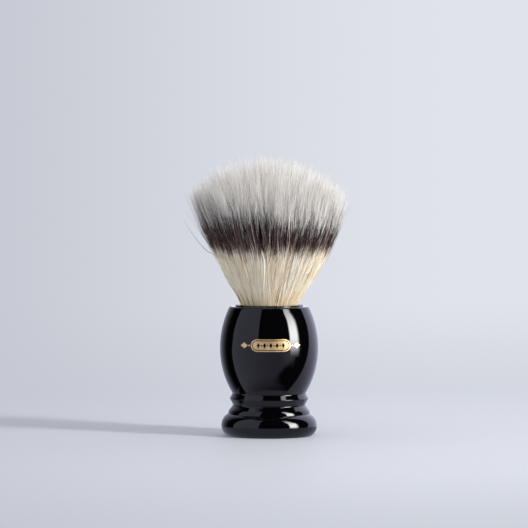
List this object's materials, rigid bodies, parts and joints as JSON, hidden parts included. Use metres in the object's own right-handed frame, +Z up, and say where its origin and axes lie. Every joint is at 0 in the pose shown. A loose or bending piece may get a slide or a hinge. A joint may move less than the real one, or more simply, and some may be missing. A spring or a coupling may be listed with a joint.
{
  "type": "shaving brush",
  "caption": "Wet-shaving brush with a turned black resin handle, gilt inlay and a fan-shaped fibre knot that bends and gives under pressure.",
  "frame": {"origin": "centre of the foot's flat bottom face", "axes": "+Z up along the brush's axis towards the fibre tips, -Y towards the emblem on the front, +X to the right seen from the front"},
  "size_m": [0.059, 0.059, 0.1061],
  "materials": {
    "handle_resin": "polished",
    "gilt": "satin",
    "cup_plastic": "gloss",
    "adhesive": "gloss",
    "epoxy": "gloss",
    "cord_cotton": "matte",
    "fibre": "satin"
  },
  "bodies": {
    "handle": {"handle_body": "handle_resin", "emblem_border": "gilt", "emblem_field": "gilt", "emblem_accents": "gilt", "knot_cup": "cup_plastic", "socket_adhesive": "adhesive", "root_plug": "epoxy", "binding_cord": "cord_cotton", "bristle_roots": "fibre"},
    "fibre_neck": {"bristle_neck": "fibre"},
    "fibre_waist": {"bristle_waist": "fibre"},
    "fibre_crown": {"bristle_crown": "fibre"}
  },
  "joints": [
    {"name": "bend_sideways", "type": "hinge", "parent": "handle", "child": "fibre_neck", "pos_m": [0, 0, 0.0498], "axis": [0, 1, 0], "range_deg": [-18, 18], "stiffness_Nm_per_rad": 0.1},
    {"name": "bend_front_back", "type": "hinge", "parent": "fibre_neck", "child": "fibre_waist", "pos_m": [0, 0, 0.0628], "axis": [1, 0, 0], "range_deg": [-18, 18], "stiffness_Nm_per_rad": 0.1},
    {"name": "press_crown", "type": "slide", "parent": "fibre_waist", "child": "fibre_crown", "axis": [0, 0, 1], "range_m": [-0.007, 0], "stiffness_N_per_m": 300}
  ]
}
